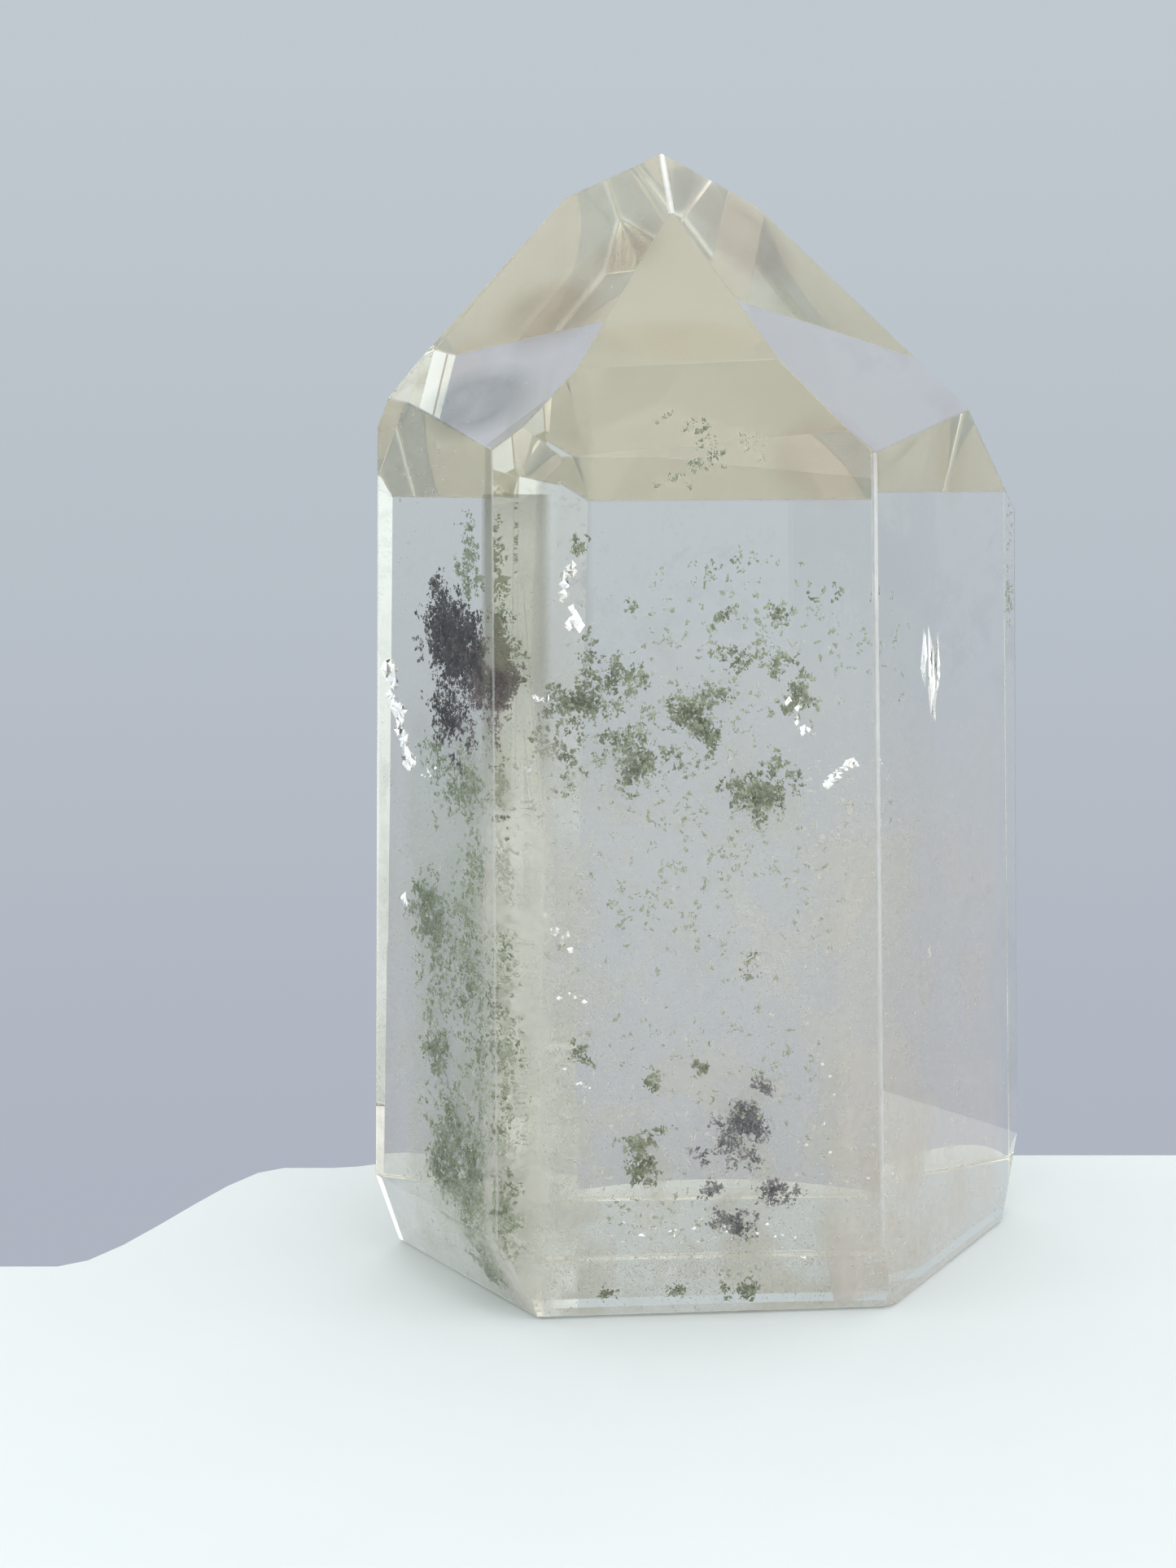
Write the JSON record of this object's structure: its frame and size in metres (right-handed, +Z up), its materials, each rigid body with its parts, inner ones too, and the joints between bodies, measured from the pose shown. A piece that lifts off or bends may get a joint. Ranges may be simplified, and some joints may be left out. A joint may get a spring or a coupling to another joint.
{
  "type": "smoky quartz point",
  "caption": "Clear, faintly smoky quartz crystal: a polished faceted column with a slanting pointed tip, green and dark inclusions inside, and a sawn flat foot that it stands on.",
  "frame": {"origin": "on the floor under the middle of the crystal's bounding box", "axes": "+Z up along the column to the tip, -Y towards the broad front face, +X to the right seen from the front"},
  "size_m": [0.0492, 0.0444, 0.0799],
  "materials": {
    "quartz": "clear polished crystal with a faint warm grey tint",
    "moss": "dull grey green mineral flecks",
    "dark_grains": "dull dark mineral grains",
    "cracks": "bright internal cracks and pale veils"
  },
  "bodies": {
    "root": {"quartz_point": "quartz"}
  },
  "joints": []
}
